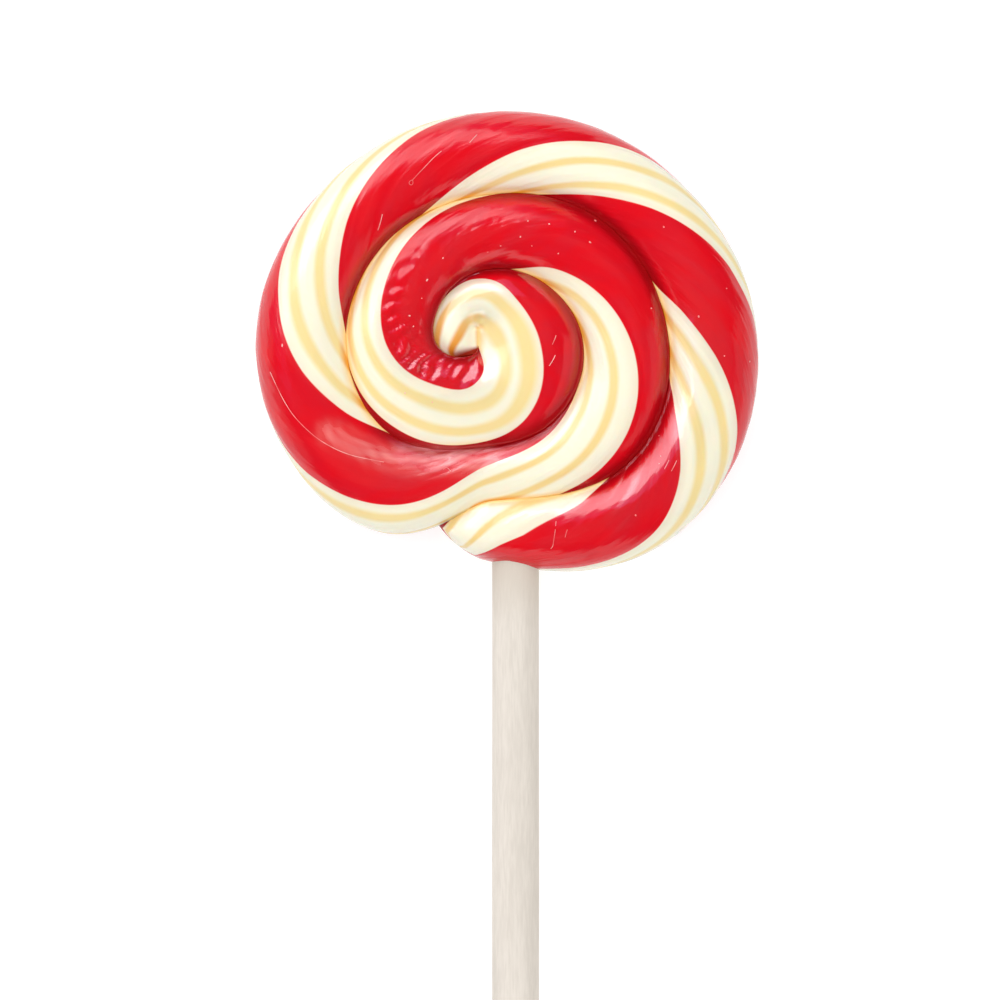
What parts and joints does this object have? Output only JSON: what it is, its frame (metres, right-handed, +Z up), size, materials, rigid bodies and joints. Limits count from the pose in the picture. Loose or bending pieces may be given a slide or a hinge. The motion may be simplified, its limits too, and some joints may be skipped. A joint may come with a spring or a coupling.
{
  "type": "swirl lollipop",
  "caption": "Flat swirl lollipop: a twisted red and cream rope of boiled sugar coiled to a hook at the middle, on a round paper stick.",
  "frame": {"origin": "under the middle of the whole piece, on the surface that it lies on", "axes": "+Z up out of the shown face, +Y from the stick's free end towards the candy's top, +X to the right"},
  "size_m": [0.0666, 0.185, 0.0112],
  "materials": {
    "candy": "glossy boiled sugar, striped red and cream with gold pinstripes",
    "stick": "matt rolled paper"
  },
  "bodies": {
    "root": {"candy_coil": "candy", "stick": "stick"}
  },
  "joints": []
}
